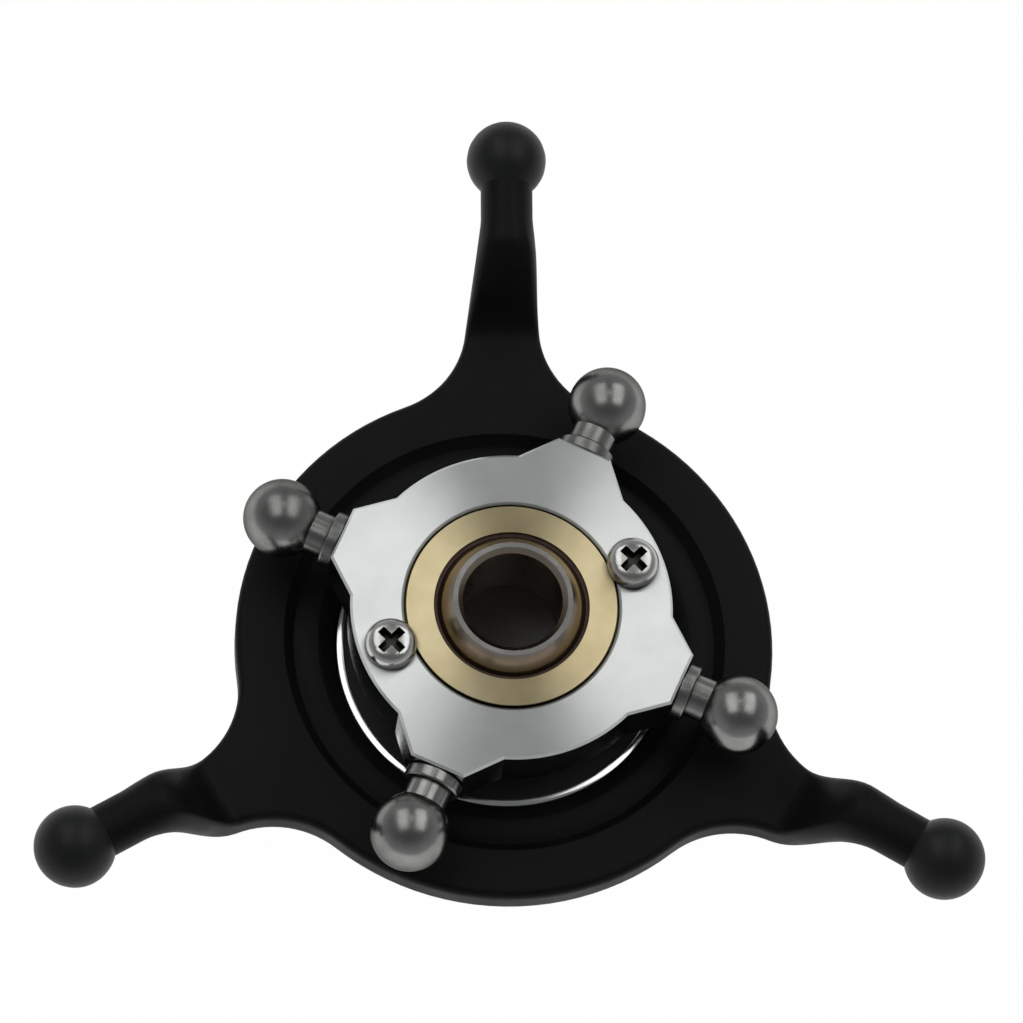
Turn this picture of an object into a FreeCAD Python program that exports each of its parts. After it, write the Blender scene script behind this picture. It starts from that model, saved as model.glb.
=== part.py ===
import FreeCAD, Part
import math
import os

# Helicopter swashplate, in millimetres.
# The origin is the centre of the mast ball. +Z runs up the mast and +Y points along the first servo arm.
# A steel ball slides on the mast. Brass seats and a thin liner hold the ball in the rotating plate,
# a sealed thin-section bearing carries the non-rotating ring on the plate's hub, and three moulded
# arms on the ring end in the balls that the servo links snap on.

os.makedirs("parts", exist_ok=True)
Vector = FreeCAD.Vector

# Mast ball
mast_bore_radius = 3.0
mast_ball_radius = 4.75
mast_ball_half_height = 3.1
mast_bore_chamfer = 0.1

# Fits
running_gap = 0.03
seated_gap = 0.01

# Ball liner and seats
liner_wall = 0.25
liner_half_height = 1.7
seat_outer_radius = 6.5
seat_split = 0.2
seat_edge_chamfer = 0.15
lower_seat_depth = 2.4

# Rotating plate
plate_top = 1.9
plate_thickness = 3.8
waist_margin = 0.38
lobe_length = 1.45
lobe_half_width = 1.7
lobe_flare = 40.0
lobe_count = 4
first_lobe_angle = 66.2
plate_edge_chamfer = 0.15
neck_wall = 0.8
hub_length_below_bearing = 1.4
seat_shelf_width = 0.9
hub_end_wall = 1.2

# Bearing, 15 x 21 x 4
bearing_bore_radius = 7.5
bearing_section = 3.0
bearing_width = 4.0
bearing_top = -5.4
race_ball_share = 0.2647
race_ball_count = 18
race_conformity = 1.04
race_shoulder_share = 0.3167
seal_land_step = 0.25
seal_thickness = 0.28
seal_recess = 0.12
race_edge_round = 0.12
cage_wall_share = 0.4545
cage_foot_below_ball = 0.356
cage_prong_share = 0.44
cage_pocket_gap = 0.05

# Hub retainers
shim_thickness = 0.2
shim_wall = 0.7
hub_circlip_thickness = 0.7
hub_circlip_wall = 1.1
hub_groove_depth = 0.35
circlip_opening = 2.2

# Non-rotating ring
ring_top = -4.2
flange_thickness = 2.2
rim_top_round = 0.5
rim_bottom_round = 0.3
lip_cover = 0.12
lip_slope_width = 0.85
ledge_width = 0.95
cove_floor_width = 0.6
cove_wall_width = 0.55
flange_face_width = 2.95
cove_depth = 0.75
ledge_depth = 0.45
ledge_fall = 0.1
lip_thickness = 0.3
housing_wall = 2.5
boss_round = 0.8
housing_circlip_thickness = 0.8
housing_groove_depth = 0.5
housing_circlip_wall = 1.3
boss_tail = 0.8

# Servo arms
arm_count = 3
first_arm_angle = 90.0
arm_ball_distance = 29.9
arm_ball_radius = 2.45
arm_neck_radius = 1.6
arm_root_radius = 6.0
arm_root_half_width = 2.35
arm_root_run = 3.4
arm_top_run = 4.4
arm_bottom_wait = 0.4
arm_bottom_run = 6.0
arm_root_squareness = 6.0
arm_root_overlap = 0.6
arm_root_inset = 0.03
arm_stations = 10
section_points = 16

# Link ball studs
link_ball_reach = 3.85
link_ball_radius = 2.375
stud_collar_radius = 1.75
stud_collar_length = 0.8
stud_neck_radius = 1.35
stud_thread_radius = 1.0
stud_thread_length = 3.2

# Clamp screws
screw_wall = 0.47
screw_angle = 20.4
screw_count = 2
screw_thread_radius = 0.8
screw_length = 3.2
screw_head_radius = 1.55
screw_head_height = 1.25
screw_head_round = 0.55
cross_length = 2.1
cross_width = 0.5
cross_depth = 0.7
cross_turn = 24.6

# Sizes worked out from the ones above
liner_inner_radius = mast_ball_radius + running_gap
liner_outer_radius = liner_inner_radius + liner_wall
seat_sphere_radius = liner_outer_radius + running_gap
plate_bottom = plate_top - plate_thickness
screw_circle_radius = seat_outer_radius + screw_thread_radius + screw_wall
waist_radius = screw_circle_radius + screw_head_radius + waist_margin
lobe_reach = waist_radius + lobe_length
link_ball_distance = lobe_reach + link_ball_reach
neck_radius = bearing_bore_radius + neck_wall
hub_mouth_top_radius = seat_outer_radius - seat_shelf_width
hub_mouth_bottom_radius = bearing_bore_radius - hub_end_wall
bearing_outer_radius = bearing_bore_radius + bearing_section
race_ball_radius = bearing_section * race_ball_share
inner_shoulder_radius = bearing_bore_radius + bearing_section * race_shoulder_share
outer_shoulder_radius = bearing_outer_radius - bearing_section * race_shoulder_share
seal_land_radius = outer_shoulder_radius + seal_land_step
bearing_bottom = bearing_top - bearing_width
bearing_middle = bearing_top - bearing_width / 2
pitch_radius = (inner_shoulder_radius + outer_shoulder_radius) / 2
race_groove_radius = race_ball_radius * race_conformity
hub_bottom = bearing_bottom - hub_length_below_bearing
ring_flange_bottom = ring_top - flange_thickness
housing_circlip_bottom = bearing_bottom - housing_circlip_thickness
boss_bottom = housing_circlip_bottom - boss_tail
lip_radius = bearing_outer_radius - lip_cover
ledge_inner_radius = bearing_outer_radius + lip_slope_width
ledge_outer_radius = ledge_inner_radius + ledge_width
cove_radius = ledge_outer_radius + cove_floor_width
face_inner_radius = cove_radius + cove_wall_width
rim_radius = face_inner_radius + flange_face_width
boss_radius = bearing_outer_radius + housing_wall
arm_root_end = rim_radius + arm_root_run
arm_top_end = arm_root_end + arm_top_run
arm_bottom_start = arm_root_end + arm_bottom_wait
arm_bottom_end = arm_root_end + arm_bottom_run


def turned(points):
    """A solid of revolution about Z from (radius, height) corners."""
    corners = [Vector(radius, 0, height) for radius, height in points]
    outline = Part.makePolygon(corners + corners[:1])
    return Part.Face(outline).revolve(Vector(0, 0, 0), Vector(0, 0, 1), 360)


def ring(inner_radius, outer_radius, bottom, top):
    """A plain ring about Z."""
    return turned([(inner_radius, bottom), (outer_radius, bottom), (outer_radius, top), (inner_radius, top)])


def around(shape, angle):
    """A copy of the shape, turned about Z."""
    copy = shape.copy()
    copy.rotate(Vector(0, 0, 0), Vector(0, 0, 1), angle)
    return copy


def spaced(count, first_angle=0.0):
    """Angles spaced evenly about Z."""
    return [first_angle + 360.0 * number / count for number in range(count)]


def circular_edges(shape, radius, height):
    """The circular edges about Z that have this radius and height."""
    found = []
    for edge in shape.Edges:
        curve = edge.Curve
        if not isinstance(curve, Part.Circle):
            continue
        off_axis = math.hypot(curve.Center.x, curve.Center.y)
        if off_axis < 1e-6 and abs(curve.Radius - radius) < 1e-6 and abs(curve.Center.z - height) < 1e-6:
            found.append(edge)
    return found


def save(name, shape):
    """Write one node."""
    shape.exportStep("parts/" + name + ".step")


def make_mast_ball():
    """Steel ball with flat ends and the bore that slides on the mast."""
    ball = Part.makeSphere(mast_ball_radius)
    height = 2 * mast_ball_half_height
    slab = Part.makeCylinder(mast_ball_radius + 1, height, Vector(0, 0, -mast_ball_half_height))
    bore = Part.makeCylinder(mast_bore_radius, height + 2, Vector(0, 0, -mast_ball_half_height - 1))
    ball = ball.common(slab).cut(bore)
    rims = circular_edges(ball, mast_bore_radius, mast_ball_half_height)
    rims += circular_edges(ball, mast_bore_radius, -mast_ball_half_height)
    return ball.makeChamfer(mast_bore_chamfer, rims)


def make_ball_liner():
    """Thin spherical liner between the ball and its seats."""
    shell = Part.makeSphere(liner_outer_radius).cut(Part.makeSphere(liner_inner_radius))
    zone = Part.makeCylinder(seat_outer_radius, 2 * liner_half_height, Vector(0, 0, -liner_half_height))
    return shell.common(zone)


def make_seat(bottom, top, chamfer_height):
    """Brass seat ring with a spherical bore, and a chamfered outer edge."""
    blank = ring(mast_bore_radius, seat_outer_radius - seated_gap, bottom, top)
    edge = circular_edges(blank, seat_outer_radius - seated_gap, chamfer_height)
    blank = blank.makeChamfer(seat_edge_chamfer, edge)
    return blank.cut(Part.makeSphere(seat_sphere_radius))


def plate_outline():
    """Waisted plate outline with a flat lobe for each link ball."""
    flare = math.radians(lobe_flare)
    # The flank runs from the lobe's corner back to the waist circle.
    along = Vector(-math.cos(flare), math.sin(flare), 0)
    corner = Vector(lobe_reach, lobe_half_width, 0)
    half_b = corner.dot(along)
    reach = -half_b - math.sqrt(half_b ** 2 - corner.dot(corner) + waist_radius ** 2)
    foot = corner + along * reach
    foot_angle = math.degrees(math.atan2(foot.y, foot.x))
    edges = []
    for angle in spaced(lobe_count, first_lobe_angle):
        turn = FreeCAD.Rotation(Vector(0, 0, 1), angle)
        mirrored = [Vector(point.x, -point.y, 0) for point in (foot, corner)]
        walk = [turn.multVec(point) for point in (mirrored[0], mirrored[1], corner, foot)]
        for start, end in zip(walk, walk[1:]):
            edges.append(Part.LineSegment(start, end).toShape())
        start_angle = math.radians(angle + foot_angle)
        end_angle = math.radians(angle + 360.0 / lobe_count - foot_angle)
        waist = Part.Circle(Vector(0, 0, 0), Vector(0, 0, 1), waist_radius)
        edges.append(Part.Arc(waist, start_angle, end_angle).toShape())
    return Part.Wire(Part.__sortEdges__(edges))


def make_inner_plate():
    """Aluminium plate and hub, bored for the seats, the studs and the clamp screws."""
    flange = Part.Face(plate_outline()).extrude(Vector(0, 0, plate_thickness))
    top_edges = [edge for edge in flange.Edges if edge.BoundBox.ZMin > plate_thickness - 1e-6]
    flange = flange.makeChamfer(plate_edge_chamfer, top_edges)
    flange.translate(Vector(0, 0, plate_bottom))
    groove_top = bearing_bottom - shim_thickness
    groove_bottom = groove_top - hub_circlip_thickness - 2 * seated_gap
    hub_radius = bearing_bore_radius
    groove_radius = hub_radius - hub_groove_depth
    hub = turned([
        (0, plate_bottom + 1), (neck_radius, plate_bottom + 1), (neck_radius, bearing_top),
        (hub_radius, bearing_top), (hub_radius, groove_top), (groove_radius, groove_top),
        (groove_radius, groove_bottom), (hub_radius, groove_bottom), (hub_radius, hub_bottom), (0, hub_bottom),
    ])
    plate = flange.fuse(hub)
    recess = turned([
        (0, plate_top + 1), (seat_outer_radius + seat_edge_chamfer + 1, plate_top + 1),
        (seat_outer_radius, plate_top - seat_edge_chamfer), (seat_outer_radius, -lower_seat_depth),
        (hub_mouth_top_radius, -lower_seat_depth), (hub_mouth_bottom_radius, hub_bottom - 0.01),
        (0, hub_bottom - 0.01),
    ])
    plate = plate.cut(recess)
    for angle in spaced(lobe_count, first_lobe_angle):
        tapped = Part.makeCylinder(
            stud_thread_radius + seated_gap, stud_thread_length + 1,
            Vector(lobe_reach - stud_thread_length, 0, 0), Vector(1, 0, 0))
        plate = plate.cut(around(tapped, angle))
    for angle in spaced(screw_count, screw_angle):
        tapped = Part.makeCylinder(
            screw_thread_radius + seated_gap, screw_length + 1,
            Vector(screw_circle_radius, 0, plate_top - screw_length))
        plate = plate.cut(around(tapped, angle))
    return plate.removeSplitter()


def make_bearing_outer_race():
    """Outer race with a ball groove and a land for each seal."""
    notch = seal_recess + seal_thickness
    race = turned([
        (outer_shoulder_radius, bearing_bottom + notch), (seal_land_radius, bearing_bottom + notch),
        (seal_land_radius, bearing_bottom), (bearing_outer_radius, bearing_bottom),
        (bearing_outer_radius, bearing_top), (seal_land_radius, bearing_top),
        (seal_land_radius, bearing_top - notch), (outer_shoulder_radius, bearing_top - notch),
    ])
    rims = circular_edges(race, bearing_outer_radius, bearing_top)
    rims += circular_edges(race, bearing_outer_radius, bearing_bottom)
    race = race.makeFillet(race_edge_round, rims)
    return race.cut(Part.makeTorus(pitch_radius, race_groove_radius, Vector(0, 0, bearing_middle)))


def make_bearing_inner_race():
    """Inner race with a ball groove."""
    race = ring(bearing_bore_radius + seated_gap, inner_shoulder_radius, bearing_bottom, bearing_top)
    rims = circular_edges(race, inner_shoulder_radius, bearing_top)
    rims += circular_edges(race, inner_shoulder_radius, bearing_bottom)
    race = race.makeFillet(race_edge_round, rims)
    return race.cut(Part.makeTorus(pitch_radius, race_groove_radius, Vector(0, 0, bearing_middle)))


def make_seal(bottom):
    """Rubber seal, fixed in the outer race and just clear of the inner one."""
    inner_radius = inner_shoulder_radius + running_gap
    return ring(inner_radius, seal_land_radius - seated_gap, bottom, bottom + seal_thickness)


def race_spheres(radius):
    """Spheres on the bearing's pitch circle: its balls, or the pockets around them."""
    centre = Vector(pitch_radius, 0, bearing_middle)
    first_angle = 180.0 / race_ball_count
    return [around(Part.makeSphere(radius, centre), angle) for angle in spaced(race_ball_count, first_angle)]


def make_bearing_cage():
    """Crown cage: a ring below the balls with a pocket for each, open on top so that it snaps on."""
    half_wall = (outer_shoulder_radius - inner_shoulder_radius) * cage_wall_share / 2
    foot = bearing_middle - race_ball_radius - cage_foot_below_ball
    prong_top = bearing_middle + race_ball_radius * cage_prong_share
    cage = ring(pitch_radius - half_wall, pitch_radius + half_wall, foot, prong_top)
    return cage.cut(race_spheres(race_ball_radius + cage_pocket_gap))


def make_circlip(inner_radius, outer_radius, bottom, thickness, opening_angle):
    """Retaining ring with a gap."""
    clip = ring(inner_radius, outer_radius, bottom, bottom + thickness)
    gap = Part.makeBox(outer_radius + 1, circlip_opening, thickness + 2, Vector(0, -circlip_opening / 2, bottom - 1))
    return clip.cut(around(gap, opening_angle))


def flange_outline():
    """Round rim with three arm roots, each blended into the rim by an arc."""
    taper = math.atan2(arm_root_half_width - arm_neck_radius, arm_bottom_end - arm_root_end)
    corner = Vector(arm_root_end, arm_root_half_width, 0)
    inward = Vector(-math.cos(taper), math.sin(taper), 0)
    outward = Vector(math.sin(taper), math.cos(taper), 0)
    # The blend arc touches the arm's side line and the rim circle.
    base = corner + outward * arm_root_radius
    reach = rim_radius + arm_root_radius
    half_b = base.dot(inward)
    travel = -half_b - math.sqrt(half_b ** 2 - base.dot(base) + reach ** 2)
    centre = base + inward * travel
    on_side = centre - outward * arm_root_radius
    on_rim = centre * (rim_radius / reach)
    between = (on_side + on_rim) * 0.5 - centre
    middle = centre + between.normalize() * arm_root_radius
    # The root runs on past its end, where the arm takes over.
    tip = corner - inward * (arm_bottom_end - arm_root_end)
    rim_angle = math.degrees(math.atan2(on_rim.y, on_rim.x))
    edges = []
    for angle in spaced(arm_count, first_arm_angle):
        turn = FreeCAD.Rotation(Vector(0, 0, 1), angle)
        left = [turn.multVec(point) for point in (tip, on_side, middle, on_rim)]
        right = [turn.multVec(Vector(point.x, -point.y, 0)) for point in (tip, on_side, middle, on_rim)]
        edges.append(Part.Arc(right[3], right[2], right[1]).toShape())
        edges.append(Part.LineSegment(right[1], right[0]).toShape())
        edges.append(Part.LineSegment(right[0], left[0]).toShape())
        edges.append(Part.LineSegment(left[0], left[1]).toShape())
        edges.append(Part.Arc(left[1], left[2], left[3]).toShape())
        start_angle = math.radians(angle + rim_angle)
        end_angle = math.radians(angle + 360.0 / arm_count - rim_angle)
        rim = Part.Circle(Vector(0, 0, 0), Vector(0, 0, 1), rim_radius)
        edges.append(Part.Arc(rim, start_angle, end_angle).toShape())
    return Part.Wire(Part.__sortEdges__(edges))


def eased(value, start, end):
    """0 before start, 1 after end, and a smooth rise between them."""
    share = min(max((value - start) / (end - start), 0.0), 1.0)
    return share * share * (3 - 2 * share)


def arm_section(distance):
    """The arm's section at this distance from the mast: a rounded bar at the root, a circle at the neck."""
    # The root section is a little smaller than the flange, so that it starts inside it.
    root_top = ring_top - arm_root_inset
    root_bottom = ring_flange_bottom + arm_root_inset
    root_width = arm_root_half_width - arm_root_inset
    top = root_top + (arm_neck_radius - root_top) * eased(distance, arm_root_end, arm_top_end)
    bottom = root_bottom
    bottom += (-arm_neck_radius - root_bottom) * eased(distance, arm_bottom_start, arm_bottom_end)
    share = min(max((distance - arm_root_end) / (arm_bottom_end - arm_root_end), 0.0), 1.0)
    half_width = root_width + (arm_neck_radius - root_width) * share
    half_height = (top - bottom) / 2
    middle = (top + bottom) / 2
    # A superellipse: power 2 is a true ellipse, and a higher one squares it off.
    power = arm_root_squareness + (2 - arm_root_squareness) * share
    points = []
    for number in range(section_points):
        turn = 2 * math.pi * number / section_points
        across = math.copysign(abs(math.cos(turn)) ** (2 / power), math.cos(turn))
        up = math.copysign(abs(math.sin(turn)) ** (2 / power), math.sin(turn))
        points.append(Vector(distance, half_width * across, middle + half_height * up))
    curve = Part.BSplineCurve()
    curve.interpolate(Points=points, PeriodicFlag=True)
    return Part.Wire(curve.toShape())


def make_arm():
    """One arm from the flange to its ball, along +X."""
    start = arm_root_end - arm_root_overlap
    end = arm_ball_distance - arm_ball_radius / 2
    distances = [start + (end - start) * number / (arm_stations - 1) for number in range(arm_stations)]
    arm = Part.makeLoft([arm_section(distance) for distance in distances], True, False)
    ball = Part.makeSphere(arm_ball_radius, Vector(arm_ball_distance, 0, 0), Vector(1, 0, 0))
    return arm.fuse(ball)


def make_outer_ring():
    """Moulded non-rotating ring with its bearing housing and servo arms."""
    flange = Part.Face(flange_outline()).extrude(Vector(0, 0, flange_thickness))
    top_edges = [edge for edge in flange.Edges if edge.BoundBox.ZMin > flange_thickness - 1e-6]
    flange = flange.makeFillet(rim_top_round, top_edges)
    bottom_edges = [edge for edge in flange.Edges if edge.BoundBox.ZMax < 1e-6]
    flange = flange.makeFillet(rim_bottom_round, bottom_edges)
    flange.translate(Vector(0, 0, ring_flange_bottom))
    # The root stops where the arm takes over.
    clear_width = 2 * arm_root_half_width + 2
    beyond = Part.makeBox(
        arm_bottom_run + 1, clear_width, flange_thickness + 2,
        Vector(arm_root_end, -clear_width / 2, ring_flange_bottom - 1))
    flange = flange.cut([around(beyond, angle) for angle in spaced(arm_count, first_arm_angle)])
    boss = ring(1, boss_radius, boss_bottom, ring_flange_bottom + 1)
    ring_body = flange.fuse(boss)
    corner = circular_edges(ring_body, boss_radius, ring_flange_bottom)
    ring_body = ring_body.makeFillet(boss_round, corner)
    groove_bottom = housing_circlip_bottom - 2 * seated_gap
    groove_radius = bearing_outer_radius + housing_groove_depth
    lip_top = bearing_top + lip_thickness
    ledge = ring_top - ledge_depth
    opening = turned([
        (0, ring_top + 1), (face_inner_radius + 0.1, ring_top + 1), (face_inner_radius, ring_top),
        (cove_radius, ring_top - cove_depth), (ledge_outer_radius, ledge - ledge_fall),
        (ledge_inner_radius, ledge), (lip_radius, lip_top), (lip_radius, bearing_top),
        (bearing_outer_radius, bearing_top), (bearing_outer_radius, bearing_bottom),
        (groove_radius, bearing_bottom), (groove_radius, groove_bottom),
        (bearing_outer_radius, groove_bottom), (bearing_outer_radius, boss_bottom - 1), (0, boss_bottom - 1),
    ])
    ring_body = ring_body.cut(opening)
    arm = make_arm()
    return ring_body.fuse([around(arm, angle) for angle in spaced(arm_count, first_arm_angle)])


def make_link_ball():
    """Ball stud with a shoulder collar and a shank for its thread, along +X."""
    collar_end = lobe_reach + stud_collar_length
    shank_start = lobe_reach - stud_thread_length + 0.2
    stud = turned([
        (0, shank_start), (stud_thread_radius - 0.15, shank_start), (stud_thread_radius, shank_start + 0.15),
        (stud_thread_radius, lobe_reach), (stud_collar_radius, lobe_reach), (stud_collar_radius, collar_end),
        (stud_neck_radius, collar_end), (stud_neck_radius, link_ball_distance), (0, link_ball_distance),
    ])
    stud = stud.fuse(Part.makeSphere(link_ball_radius, Vector(0, 0, link_ball_distance)))
    stud.rotate(Vector(0, 0, 0), Vector(0, 1, 0), 90)
    return stud.removeSplitter()


def make_clamp_screw():
    """Pan-head screw with a cross recess, standing on the plate's top face."""
    head = Part.makeCylinder(screw_head_radius, screw_head_height)
    head = head.makeFillet(screw_head_round, circular_edges(head, screw_head_radius, screw_head_height))
    bottom = screw_head_height - cross_depth
    for angle in (0, 90):
        slot = Part.makeBox(
            cross_length, cross_width, cross_depth + 1, Vector(-cross_length / 2, -cross_width / 2, bottom))
        head = head.cut(around(slot, angle + cross_turn))
    shank = turned([
        (0, 0.2 - screw_length), (screw_thread_radius - 0.15, 0.2 - screw_length),
        (screw_thread_radius, 0.35 - screw_length), (screw_thread_radius, 0), (0, 0),
    ])
    screw = head.fuse(shank)
    screw.translate(Vector(screw_circle_radius, 0, plate_top))
    return screw


save("mast_ball", make_mast_ball())
save("ball_liner", make_ball_liner())
save("brass_retainer", make_seat(seat_split / 2, plate_top, plate_top))
save("lower_ball_seat", make_seat(-lower_seat_depth, -seat_split / 2, -lower_seat_depth))
save("inner_plate", make_inner_plate())

link_ball = make_link_ball()
for number, angle in enumerate(spaced(lobe_count, first_lobe_angle), start=1):
    save("link_ball_%d" % number, around(link_ball, angle))

clamp_screw = make_clamp_screw()
for number, angle in enumerate(spaced(screw_count, screw_angle), start=1):
    save("clamp_screw_%d" % number, around(clamp_screw, angle))

save("bearing_inner_race", make_bearing_inner_race())
save("bearing_outer_race", make_bearing_outer_race())
save("bearing_balls", Part.makeCompound(race_spheres(race_ball_radius)))
save("bearing_cage", make_bearing_cage())
save("bearing_seal_upper", make_seal(bearing_top - seal_recess - seal_thickness))
save("bearing_seal_lower", make_seal(bearing_bottom + seal_recess))

shim_bottom = bearing_bottom - shim_thickness
shim_radius = bearing_bore_radius + seated_gap
save("hub_shim", ring(shim_radius, shim_radius + shim_wall, shim_bottom, bearing_bottom))
hub_clip_inner = bearing_bore_radius - hub_groove_depth + seated_gap
hub_clip_bottom = shim_bottom - hub_circlip_thickness
save("hub_circlip", make_circlip(
    hub_clip_inner, hub_clip_inner + hub_circlip_wall, hub_clip_bottom, hub_circlip_thickness, 30.0))
housing_clip_outer = bearing_outer_radius + housing_groove_depth - seated_gap
save("housing_circlip", make_circlip(
    housing_clip_outer - housing_circlip_wall, housing_clip_outer, housing_circlip_bottom,
    housing_circlip_thickness, 210.0))
save("outer_ring", make_outer_ring())
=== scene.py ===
import math

import bmesh
import bpy
from mathutils import Matrix, Vector


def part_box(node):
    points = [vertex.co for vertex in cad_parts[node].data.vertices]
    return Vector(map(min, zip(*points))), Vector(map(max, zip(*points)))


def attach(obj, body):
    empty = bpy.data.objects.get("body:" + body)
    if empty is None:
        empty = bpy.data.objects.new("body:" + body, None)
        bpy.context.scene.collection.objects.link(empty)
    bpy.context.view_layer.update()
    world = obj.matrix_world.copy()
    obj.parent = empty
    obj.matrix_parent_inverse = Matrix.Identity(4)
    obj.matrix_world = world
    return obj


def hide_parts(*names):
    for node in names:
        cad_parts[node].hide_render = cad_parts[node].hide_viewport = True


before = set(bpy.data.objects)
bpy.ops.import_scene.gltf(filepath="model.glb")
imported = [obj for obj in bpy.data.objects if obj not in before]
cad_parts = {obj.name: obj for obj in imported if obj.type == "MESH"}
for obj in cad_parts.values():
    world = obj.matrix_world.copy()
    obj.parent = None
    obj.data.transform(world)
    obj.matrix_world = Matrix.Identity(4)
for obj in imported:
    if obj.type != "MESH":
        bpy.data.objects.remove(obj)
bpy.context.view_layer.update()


# ---- Camera ----------------------------------------------------------------------------------
# A long lens high above the part and a little in front of it, turned slightly about its own axis.
# Angles are in degrees; the part's own sizes are in millimetres through the whole file.
MM = 0.001
camera_azimuth = math.radians(-10.70)
camera_elevation = math.radians(68.85)
camera_roll = math.radians(-11.01)
camera_distance = 0.400
camera_target = Vector((0.02, 6.02, 1.90)) * MM

back = Vector((
    math.sin(camera_azimuth) * math.cos(camera_elevation),
    -math.cos(camera_azimuth) * math.cos(camera_elevation),
    math.sin(camera_elevation)))
level_right = Vector((math.cos(camera_azimuth), math.sin(camera_azimuth), 0))
level_up = back.cross(level_right)
right = math.cos(camera_roll) * level_right - math.sin(camera_roll) * level_up
up = math.sin(camera_roll) * level_right + math.cos(camera_roll) * level_up

camera_data = bpy.data.cameras.new("camera")
camera_data.sensor_width = 36.0
camera_data.lens = 233.51
camera_data.clip_start = 0.01
camera = bpy.data.objects.new("camera", camera_data)
camera.matrix_world = Matrix((
    (right.x, up.x, back.x, 0), (right.y, up.y, back.y, 0), (right.z, up.z, back.z, 0), (0, 0, 0, 1)))
camera.location = camera_target + back * camera_distance
bpy.context.scene.collection.objects.link(camera)
bpy.context.scene.camera = camera


# ---- Studio ----------------------------------------------------------------------------------
# A white table in a white tent that is brighter near the ground, with two tall panels overhead and a
# small lamp in the gap between them. The table shows white, still takes a faint shadow, and stays in
# the part's shade in the disc that is seen through the mast bore.
table_gap = 0.05 * MM
floor_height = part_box("outer_ring")[0].z - table_gap
table_size = 8.0
table_colour = (0.80, 0.80, 0.80, 1)
table_white_share = 0.99
shaded_radius = 8.0 * MM
shade_blur = 0.3 * MM

table_mesh = bpy.data.meshes.new("table")
bm = bmesh.new()
bmesh.ops.create_grid(bm, x_segments=1, y_segments=1, size=table_size / 2)
bmesh.ops.translate(bm, verts=bm.verts, vec=(0, 0, floor_height))
bm.to_mesh(table_mesh)
bm.free()
table = bpy.data.objects.new("table", table_mesh)
bpy.context.scene.collection.objects.link(table)

table_finish = bpy.data.materials.new("table_white")
table_finish.use_nodes = True
nodes, links = table_finish.node_tree.nodes, table_finish.node_tree.links
nodes.clear()
output = nodes.new("ShaderNodeOutputMaterial")
mix = nodes.new("ShaderNodeMixShader")
lit = nodes.new("ShaderNodeBsdfDiffuse")
lit.inputs["Color"].default_value = table_colour
glow = nodes.new("ShaderNodeEmission")
glow.inputs["Color"].default_value = (1, 1, 1, 1)
path = nodes.new("ShaderNodeLightPath")
place = nodes.new("ShaderNodeTexCoord")
level = nodes.new("ShaderNodeVectorMath")
level.operation = "MULTIPLY"
level.inputs[1].default_value = (1, 1, 0)
away = nodes.new("ShaderNodeVectorMath")
away.operation = "LENGTH"
outside = nodes.new("ShaderNodeMapRange")
outside.inputs["From Min"].default_value = shaded_radius
outside.inputs["From Max"].default_value = shaded_radius + shade_blur
# It shows white to the camera, in metal and through glass.
seen_or_mirrored = nodes.new("ShaderNodeMath")
seen_any_way = nodes.new("ShaderNodeMath")
share = nodes.new("ShaderNodeMath")
share.operation = "MULTIPLY"
white = nodes.new("ShaderNodeMath")
white.operation = "MULTIPLY"
white.inputs[1].default_value = table_white_share
links.new(place.outputs["Object"], level.inputs[0])
links.new(level.outputs[0], away.inputs[0])
links.new(away.outputs["Value"], outside.inputs["Value"])
links.new(path.outputs["Is Camera Ray"], seen_or_mirrored.inputs[0])
links.new(path.outputs["Is Glossy Ray"], seen_or_mirrored.inputs[1])
links.new(seen_or_mirrored.outputs[0], seen_any_way.inputs[0])
links.new(path.outputs["Is Transmission Ray"], seen_any_way.inputs[1])
links.new(seen_any_way.outputs[0], share.inputs[0])
links.new(outside.outputs["Result"], share.inputs[1])
links.new(share.outputs[0], white.inputs[0])
links.new(white.outputs[0], mix.inputs["Fac"])
links.new(lit.outputs[0], mix.inputs[1])
links.new(glow.outputs[0], mix.inputs[2])
links.new(mix.outputs[0], output.inputs["Surface"])
table_mesh.materials.append(table_finish)

tent_low, tent_overhead = 0.42, 0.15
# Heights on the tent, 0 at the horizon and 1 overhead, between which its light falls off.
tent_fall_start, tent_fall_end = 0.25, 0.75
world = bpy.data.worlds.new("white_tent")
world.use_nodes = True
nodes, links = world.node_tree.nodes, world.node_tree.links
tent = nodes["Background"]
tent.inputs["Color"].default_value = (0.96, 0.98, 1.0, 1)
tent_place = nodes.new("ShaderNodeTexCoord")
tent_split = nodes.new("ShaderNodeSeparateXYZ")
tent_rise = nodes.new("ShaderNodeMapRange")
tent_rise.inputs["From Min"].default_value = tent_fall_start
tent_rise.inputs["From Max"].default_value = tent_fall_end
tent_rise.inputs["To Min"].default_value = tent_low
tent_rise.inputs["To Max"].default_value = tent_overhead
tent_white = nodes.new("ShaderNodeBackground")
tent_white.inputs["Color"].default_value = (1, 1, 1, 1)
tent_path = nodes.new("ShaderNodeLightPath")
tent_mix = nodes.new("ShaderNodeMixShader")
links.new(tent_place.outputs["Generated"], tent_split.inputs[0])
links.new(tent_split.outputs["Z"], tent_rise.inputs["Value"])
links.new(tent_rise.outputs["Result"], tent.inputs["Strength"])
links.new(tent_path.outputs["Is Camera Ray"], tent_mix.inputs["Fac"])
links.new(tent.outputs[0], tent_mix.inputs[1])
links.new(tent_white.outputs[0], tent_mix.inputs[2])
links.new(tent_mix.outputs[0], nodes["World Output"].inputs["Surface"])
bpy.context.scene.world = world
bpy.context.scene.view_settings.view_transform = "Standard"


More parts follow.
